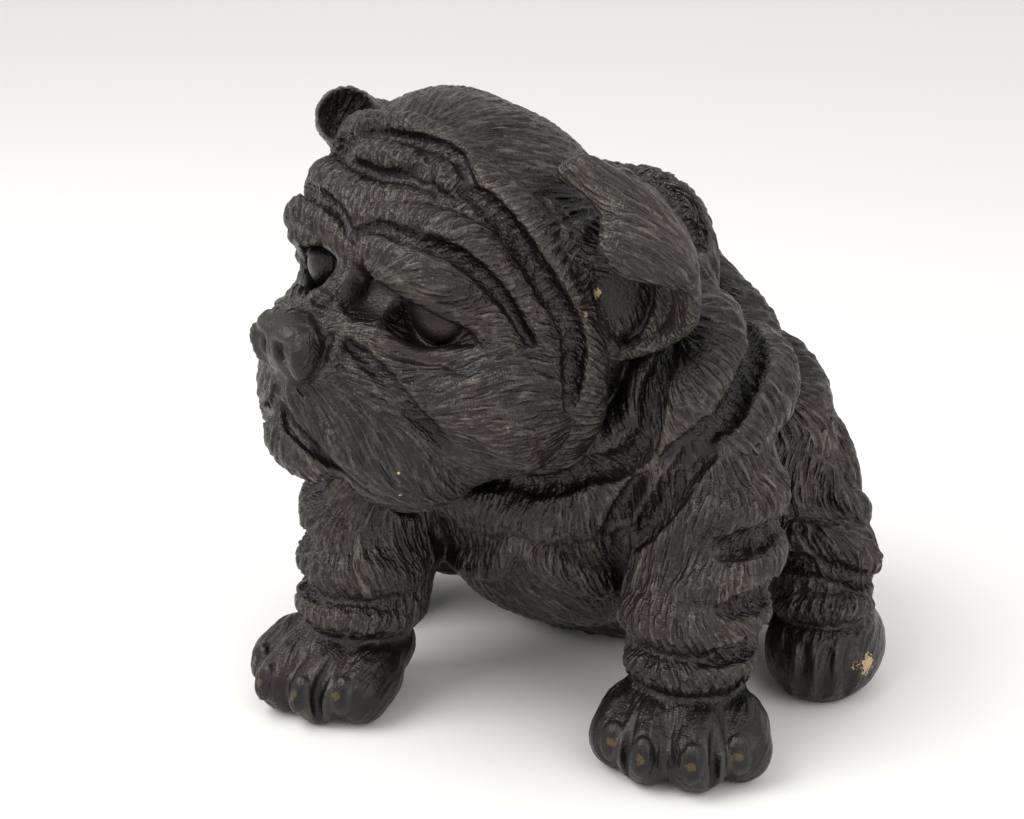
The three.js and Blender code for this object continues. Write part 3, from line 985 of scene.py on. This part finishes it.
def comb(piece, settings, material, pitch, depth):
    """Combs a casting's coat and gives it its material."""
    tree = comb_tree()
    modifier = piece.modifiers.new("Comb strokes", "NODES")
    modifier.node_group = tree
    inputs = {item.name: item.identifier for item in tree.interface.items_tree if item.in_out == "INPUT"}
    modifier[inputs["Pitch"]] = settings.stroke_pitch * pitch
    modifier[inputs["Length"]] = settings.stroke_length * pitch
    modifier[inputs["Depth"]] = settings.stroke_depth * depth
    modifier[inputs["Material"]] = material
    bake_modifiers(piece)
    thin_to(piece, settings.most_faces)
    piece.data.polygons.foreach_set("use_smooth", np.ones(len(piece.data.polygons), bool))


# ---- Materials ----


def material(name, build, *given):
    """The material of a name, built on its first use."""
    if name in bpy.data.materials:
        return bpy.data.materials[name]
    made = bpy.data.materials.new(name)
    made.use_nodes = True
    tree = made.node_tree
    tree.nodes.clear()
    output = tree.nodes.new("ShaderNodeOutputMaterial")
    shader = tree.nodes.new("ShaderNodeBsdfPrincipled")
    tree.links.new(shader.outputs[0], output.inputs["Surface"])
    inputs = build(tree, add(tree, "ShaderNodeTexCoord").outputs["Object"], *given)
    for key, value in inputs.items():
        give(tree, shader.inputs[key], value)
    return made


def mix(tree, share, a, b):
    """Two colours, mixed by a share of the second."""
    node = add(tree, "ShaderNodeMix", data_type="RGBA")
    for key, value in ((0, share), (6, a), (7, b)):
        give(tree, node.inputs[key], value)
    return node.outputs[2]


def bumped(tree, height, strength, distance):
    """A normal that follows a height."""
    given = {"Height": height, "Strength": strength, "Distance": distance}
    return add(tree, "ShaderNodeBump", given).outputs[0]


CHIPS = (  # middle and radius, in the clay's millimetres
    ((25, -53, 143), 2.4), ((25, -61, 139), 1.6), ((98, 2, 14), 4.6), ((95, -1, 15), 2.6),
    ((-20, -93, 96), 0.8), ((-21, -90, 88), 0.7), ((10, -85, 110), 1.0),
)


def spots(tree, place, marks, ragged):
    """A mask that is 1 at each mark, with ragged edges."""
    rough = noise(tree, place, ragged * MM, 3.0)
    total = None
    for middle, radius in marks:
        spot = to_frame(np.array(middle)).tolist()
        away = add(tree, "ShaderNodeVectorMath", {0: place, 1: spot}, operation="DISTANCE").outputs["Value"]
        away = calc(tree, "MULTIPLY_ADD", rough, radius * 1.6 * MM, away)
        mark = ramp(tree, away, radius * 1.35 * MM, radius * 1.5 * MM, 1.0, 0.0)
        total = mark if total is None else calc(tree, "MAXIMUM", total, mark)
    return total


def claws():
    """Where the claws of the forepaws are, and how big their rubbed spots are."""
    for side in (1, -1):
        paw = forepaw(None, side)
        for x, y, _, _ in TOES:
            yield paw.place((x * 1.02, y - 13, 13)), 2.2


def cold_cast_bronze(tree, place, settings):
    """Cold-cast bronze: resin filled with bronze powder, under a brushed-on dark patina rubbed back on the
    crests. It looks near black, satin, with brown and olive blooms; crests and stroke tops are paler from
    wear and from a painted highlight, and creases and folds are darker from patina and from painted shade."""
    flow = add(tree, "ShaderNodeAttribute", attribute_name="flow").outputs["Vector"]
    fur, hollow, ridge, stroke = (
        add(tree, "ShaderNodeAttribute", attribute_name=key).outputs["Fac"]
        for key in ("fur", "hollow", "ridge", "stroke")
    )
    taps = 7
    strands = streaks(tree, place, flow, 1.3 / (1.25 * MM), 5.0 * MM, taps)
    strands = calc(tree, "MULTIPLY", ramp(tree, strands, taps * 0.38, taps * 0.62), fur)
    patches = noise(tree, place, 21 * MM, 5.0)
    grain = noise(tree, place, 0.9 * MM, 3.0)
    olive = ramp(tree, noise(tree, place, 38 * MM, 4.0), 0.45, 0.65)
    tint = mix(tree, olive, linear(settings.patina), linear(settings.olive))
    tint = mix(tree, ramp(tree, patches, 0.5, 0.7), tint, linear(settings.umber))
    # paler crests and stroke tops: rubbed wear, plus a painted highlight
    rubbed = calc(tree, "ADD", ramp(tree, strands, 0.45, 1.0), ramp(tree, stroke, 0.12, 0.45))
    rubbed = calc(tree, "MULTIPLY_ADD", ramp(tree, ridge, 0.02, 0.5), 0.6, rubbed)
    rubbed = calc(tree, "MULTIPLY", rubbed, patches, use_clamp=True)
    colour = mix(tree, rubbed, tint, linear(settings.crest_wear_and_highlight))
    # dark patina in the creases, plus painted shade in the deep folds between the rolls
    colour = mix(tree, ramp(tree, hollow, 0.15, 1.0), colour, linear(settings.crease_patina_and_shade))
    gilt = calc(tree, "MULTIPLY", spots(tree, place, claws(), 1.2), 0.22)
    colour = mix(tree, gilt, colour, linear(settings.gilt))
    colour = mix(tree, spots(tree, place, CHIPS, 0.9), colour, linear(settings.chips))
    leather = calc(tree, "MULTIPLY_ADD", fur, -0.35, 0.5)
    height = calc(tree, "MULTIPLY_ADD", grain, leather, strands)
    rough = ramp(tree, grain, 0.3, 0.7, 0.26, 0.42)
    return {"Base Color": colour, "Metallic": 0.35, "Specular IOR Level": 0.42, "Roughness": rough,
            "Normal": bumped(tree, height, 1.0, 0.55 * MM)}


def moulded_board(tree, place, settings):
    """ABS disc, moulded: near black, with the fine even grain of a sparked mould."""
    colour = mix(tree, noise(tree, place, 14 * MM, 4.0), linear(settings.board), linear("#2A2826"))
    grain = noise(tree, place, 0.5 * MM, 2.0)
    normal = bumped(tree, grain, 0.4, 0.1 * MM)
    return {"Base Color": colour, "Roughness": 0.55, "IOR": 1.54, "Normal": normal}


def moulded_rubber(tree, place, settings):
    """Synthetic rubber, moulded: black, dull, with a bloom that greys it in patches."""
    bloom = noise(tree, place, 9 * MM, 5.0)
    grain = noise(tree, place, 0.4 * MM, 2.0)
    colour = mix(tree, bloom, linear(settings.rubber), linear("#2B2A28"))
    return {"Base Color": colour, "Roughness": ramp(tree, bloom, 0.0, 1.0, 0.6, 0.85), "IOR": 1.52,
            "Normal": bumped(tree, grain, 0.3, 0.08 * MM)}


def pressed_felt(tree, place, settings):
    """Wool felt, pressed: dull dark green, with short tangled fibres."""
    fibres = noise(tree, place, 0.35 * MM, 5.0, 1.5)
    colour = mix(tree, fibres, linear(settings.felt), linear("#3B4A33"))
    return {"Base Color": colour, "Roughness": 0.95, "Sheen Weight": 0.4,
            "Normal": bumped(tree, fibres, 0.8, 0.25 * MM)}


def studio_floor(_tree, _place, settings):
    """Smooth paper under the figure."""
    return {"Base Color": linear(settings.floor), "Roughness": 0.6}


# ---- Pieces ----


def finish_piece(piece, material, slot, body, *nodes):
    """Gives a piece its material and its body, and hides the CAD nodes it stands for."""
    piece.data.materials.clear()
    piece.data.materials.append(material)
    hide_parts(*nodes)
    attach(piece, body)
    return piece


def opening(name):
    """Corners of one of the record's openings, in the clay's millimetres."""
    for entry in frame["record"]["physics"]["openings"]:
        if entry["name"] == name:
            low, high = (np.array(corner) / MM - TORSO_PLACE for corner in entry["box_m"])
            return low, high
    raise ValueError(f"the record has no opening named {name}")


def node_round(name):
    """Middle, radius, bottom and top of a round CAD node, in the clay's millimetres."""
    low, high = (np.array(corner) / MM - TORSO_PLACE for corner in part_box(name))
    return (low + high) / 2, (high[0] - low[0]) / 2, low[2], high[2]


PADS = ("pad_left_fore", "pad_right_fore", "pad_left_hind", "pad_right_hind")
CLEARANCE = 0.3  # round the pads and the plate
BELOW = -5.0  # a height under the whole figure
LEDGE_WIDTH = 4.0
NECK_HEIGHT = 9.0
SLOT_EDGE = np.array((1.0, 0.25, 0.0))
FLANGE_OVERHANG = 3.7
FLANGE_THICKNESS = 2.6


def cast(context, name, grain, line_of, strokes, wall=None, cuts=(), slot=None, bare=(), smooth_below=None):
    """Casts one piece of the figure: its clay, its openings, its coat and its finish."""
    settings = context.scene.coin_bank_castings
    grain *= 1.0
    block, figure, core = casting_clay(name, grain, settings.joint_gap, wall)
    if slot:
        cut_slot(block, *slot)
    for bore in cuts:
        cut_round(block, *bore)
    piece = make_casting(name, block, figure, core, line_of, bare, smooth_below)
    bronze = material("cold_cast_bronze_patina", cold_cast_bronze, settings)
    comb(piece, settings, bronze, *strokes)
    finish_piece(piece, bronze, "bronze_resin", BANK, name)


class COINBANK_OT_torso(bpy.types.Operator):
    """Sculpts the hollow torso, with its coin slot and its base opening"""

    bl_idname = "coinbank.torso"
    bl_label = "Torso"

    def execute(self, context):
        settings = context.scene.coin_bank_castings
        low, high = opening("coin_slot")
        middle, radius, _, top = node_round("base_plate")
        seat = (middle, radius + CLEARANCE, BELOW, top + CLEARANCE)
        neck = (middle, radius - LEDGE_WIDTH, BELOW, top + NECK_HEIGHT)
        slot = (low - SLOT_EDGE, high + SLOT_EDGE)
        wall = settings.wall
        cast(context, "body_casting", settings.torso_grain, torso_line, (1.15, 1.1), wall, (seat, neck), slot)
        return {"FINISHED"}


class COINBANK_OT_head(bpy.types.Operator):
    """Sculpts the head"""

    bl_idname = "coinbank.head"
    bl_label = "Head"

    def execute(self, context):
        settings = context.scene.coin_bank_castings
        hand = head_hand(None)
        bare = [(hand.place((1, -76, 0)), 12.0)]
        for side in (hand, hand.other()):
            bare.append((side.place((29, -43, 5)), 10.0))
            bare.append((side.place((10, -46, 12)), 9.0))
        cast(context, "head_casting", settings.head_grain, head_line, (0.85, 0.8), settings.wall, bare=bare)
        return {"FINISHED"}


class COINBANK_OT_ears(bpy.types.Operator):
    """Sculpts the two ears"""

    bl_idname = "coinbank.ears"
    bl_label = "Ears"

    def execute(self, context):
        settings = context.scene.coin_bank_castings
        for name, side in (("left_ear", 1), ("right_ear", -1)):
            bare = [(head_hand(None, side).place((56, 8, 2)), 9.0)]
            cast(context, name, settings.ear_grain, ear_line, (0.9, 0.5), bare=bare)
        return {"FINISHED"}


class COINBANK_OT_legs(bpy.types.Operator):
    """Sculpts the forelegs and the hind legs"""

    bl_idname = "coinbank.legs"
    bl_label = "Legs"

    def execute(self, context):
        settings = context.scene.coin_bank_castings
        recesses = []
        for middle, radius, _, top in map(node_round, PADS):
            recesses.append((middle, radius + CLEARANCE, BELOW, top + CLEARANCE))
        for name in ("left_foreleg", "right_foreleg", "left_hind_leg", "right_hind_leg"):
            cast(context, name, settings.leg_grain, leg_line, (1.1, 1.1), cuts=recesses, smooth_below=14)
        return {"FINISHED"}


def tight_edges(profile, closed=False, reach=0.08):
    """A profile with a point close to each side of every corner, so that smooth shading keeps its flats."""
    line = []
    for i, (radius, height) in enumerate(profile):
        here = np.array((radius, height), float)
        for step in (-1, 1):
            if not closed and not 0 <= i + step < len(profile):
                line.append(tuple(here))
                continue
            away = np.array(profile[(i + step) % len(profile)]) - here
            line.append(tuple(here + away / np.linalg.norm(away) * reach))
    return line


def lathe(name, middle, profile, turns=96, closed=False):
    """Turns a profile of (radius, height) points round an upright axis. Open ones start and end on it."""
    rings, points = [], []
    for radius, height in profile:
        count = 1 if radius == 0 else turns
        angles = np.arange(count) * 2 * math.pi / turns
        rings.append(np.arange(count) + len(points))
        x, y = middle[0] + radius * np.cos(angles), middle[1] + radius * np.sin(angles)
        points.extend(np.stack([x, y, np.full(count, height)], axis=1))
    faces = []
    for low, high in zip(rings, rings[1:] + rings[:1] if closed else rings[1:]):
        for i in range(turns):
            j = (i + 1) % turns
            corners = [low[i % len(low)], low[j % len(low)], high[j % len(high)], high[i % len(high)]]
            faces.append(list(dict.fromkeys(int(c) for c in corners)))
    return make_object(name, to_frame(np.array(points)).tolist(), faces)


class COINBANK_OT_fittings(bpy.types.Operator):
    """Makes the base plate, the stopper and the felt feet"""

    bl_idname = "coinbank.fittings"
    bl_label = "Base fittings"

    def execute(self, context):
        settings = context.scene.coin_bank_fittings
        middle, outer, low, high = node_round("base_plate")
        _, flange, foot, crown = node_round("stopper")
        plug = flange - FLANGE_OVERHANG
        hole = plug + 0.3
        rim = [(hole, low + 0.5), (hole + 0.5, low), (hole + 3.9, low), (hole + 4.1, low + 0.4),
            (hole + 4.9, low + 0.4), (hole + 5.1, low), (outer - 2.6, low), (outer - 2.4, low + 0.4),
            (outer - 1.6, low + 0.4), (outer - 1.4, low), (outer - 0.5, low), (outer, low + 0.5),
            (outer, high - 0.5), (outer - 0.5, high), (hole + 0.5, high), (hole, high - 0.5)]
        plate = lathe("base_plate_moulding", middle, tight_edges(rim, closed=True), closed=True)
        board = material("moulded_abs", moulded_board, settings)
        finish_piece(plate, board, "base_board", BANK, "base_plate")
        dish = foot + FLANGE_THICKNESS / 2
        grip = [(0, dish - 0.1), (2.0, dish - 0.1), (2.4, dish - 0.6), (3.6, dish - 0.6), (4.0, dish),
            (5.6, dish), (6.0, dish - 0.5), (7.2, dish - 0.5), (7.6, dish), (plug - 3.6, dish),
            (plug - 2.1, foot + 0.1), (plug - 1.8, foot), (flange - 0.7, foot), (flange, foot + 0.7),
            (flange, foot + 1.8), (flange - 0.8, foot + FLANGE_THICKNESS), (plug, foot + FLANGE_THICKNESS),
            (plug, foot + 6.4), (plug - 0.5, foot + 6.9), (plug - 0.5, foot + 7.6),
            (plug - 0.2, foot + 8.0), (plug - 0.8, crown - 0.8), (plug - 1.6, crown), (0, crown)]
        stopper = lathe("stopper_moulding", middle, tight_edges(grip))
        rubber = material("moulded_rubber", moulded_rubber, settings)
        finish_piece(stopper, rubber, "stopper_rubber", STOPPER, "stopper")
        felt = material("pressed_wool_felt", pressed_felt, settings)
        for name in PADS:
            middle, radius, low, high = node_round(name)
            edge = [(0, low), (radius - 0.6, low), (radius - 0.1, low + 0.35), (radius, low + 0.9),
                (radius - 0.1, high - 0.3), (radius - 0.5, high), (0, high)]
            disc = lathe(name + "_felt", middle, tight_edges(edge), turns=72)
            finish_piece(disc, felt, "felt", BANK, name)
        return {"FINISHED"}


FLOOR = 3.0  # half the floor's width
AIM = Vector((-0.006, -0.04116, 0.100))  # what the camera looks at
LIT = Vector((0, 0, 0.08))  # what the lights point at


class COINBANK_OT_stage(bpy.types.Operator):
    """Sets up the camera, the floor and the lights"""

    bl_idname = "coinbank.stage"
    bl_label = "Stage"

    def execute(self, context):
        settings = context.scene.coin_bank_stage
        azimuth, height = settings.camera_azimuth, settings.camera_height
        level = math.cos(height)
        back = Vector((math.sin(azimuth) * level, -math.cos(azimuth) * level, math.sin(height)))
        camera = bpy.data.objects.new("camera", bpy.data.cameras.new("camera"))
        camera.data.lens = settings.lens
        camera.data.sensor_width = 36.0
        camera.data.clip_start = 0.01
        camera.location = AIM + back * settings.camera_distance
        camera.rotation_euler = back.to_track_quat("Z", "Y").to_euler()
        context.scene.collection.objects.link(camera)
        context.scene.camera = camera
        corners = [(-FLOOR, -FLOOR, 0), (FLOOR, -FLOOR, 0), (FLOOR, FLOOR, 0), (-FLOOR, FLOOR, 0)]
        floor = make_object("floor", corners, [(0, 1, 2, 3)])
        floor.data.materials.append(material("floor_paper", studio_floor, settings))
        world = bpy.data.worlds.new("studio")
        world.use_nodes = True
        world.node_tree.nodes["Background"].inputs["Color"].default_value = linear("#F2F2F1")
        world.node_tree.nodes["Background"].inputs["Strength"].default_value = 0.95
        context.scene.world = world
        self.light("key", (-0.55, -0.55, 0.95), 0.9, settings.key_power)
        self.light("fill", (0.9, -0.5, 0.7), 1.0, settings.fill_power)
        context.scene.view_settings.view_transform = "Standard"
        return {"FINISHED"}

    def light(self, name, place, size, power):
        light = bpy.data.lights.new(name, "AREA")
        light.energy = power
        light.size = size
        lamp = bpy.data.objects.new(name, light)
        lamp.location = place
        lamp.rotation_euler = (Vector(place) - LIT).to_track_quat("Z", "Y").to_euler()
        bpy.context.scene.collection.objects.link(lamp)


class COINBANK_PT_panel(bpy.types.Panel):
    """Lists the pieces and their settings"""

    bl_idname = "COINBANK_PT_panel"
    bl_label = "Coin Bank"
    bl_space_type = "VIEW_3D"
    bl_region_type = "UI"
    bl_category = "Coin Bank"

    def draw(self, context):
        for operator in OPERATORS:
            self.layout.operator(operator.bl_idname)
        for group in ("coin_bank_castings", "coin_bank_fittings", "coin_bank_stage"):
            settings = getattr(context.scene, group)
            box = self.layout.box()
            for key in settings.bl_rna.properties.keys():
                if key not in ("rna_type", "name"):
                    box.prop(settings, key)


GROUPS = {
    "coin_bank_castings": CastingSettings,
    "coin_bank_fittings": FittingSettings,
    "coin_bank_stage": StageSettings,
}
OPERATORS = (
    COINBANK_OT_stage,
    COINBANK_OT_torso,
    COINBANK_OT_head,
    COINBANK_OT_ears,
    COINBANK_OT_legs,
    COINBANK_OT_fittings,
)


def register():
    for name, group in GROUPS.items():
        bpy.utils.register_class(group)
        setattr(bpy.types.Scene, name, bpy.props.PointerProperty(type=group))
    for cls in (*OPERATORS, COINBANK_PT_panel):
        bpy.utils.register_class(cls)


def unregister():
    for cls in (COINBANK_PT_panel, *reversed(OPERATORS)):
        bpy.utils.unregister_class(cls)
    for name, group in GROUPS.items():
        delattr(bpy.types.Scene, name)
        bpy.utils.unregister_class(group)


def main():
    register()
    bpy.ops.coinbank.stage()
    bpy.ops.coinbank.torso()
    bpy.ops.coinbank.head()
    bpy.ops.coinbank.ears()
    bpy.ops.coinbank.legs()
    bpy.ops.coinbank.fittings()


if __name__ == "__main__":
    main()
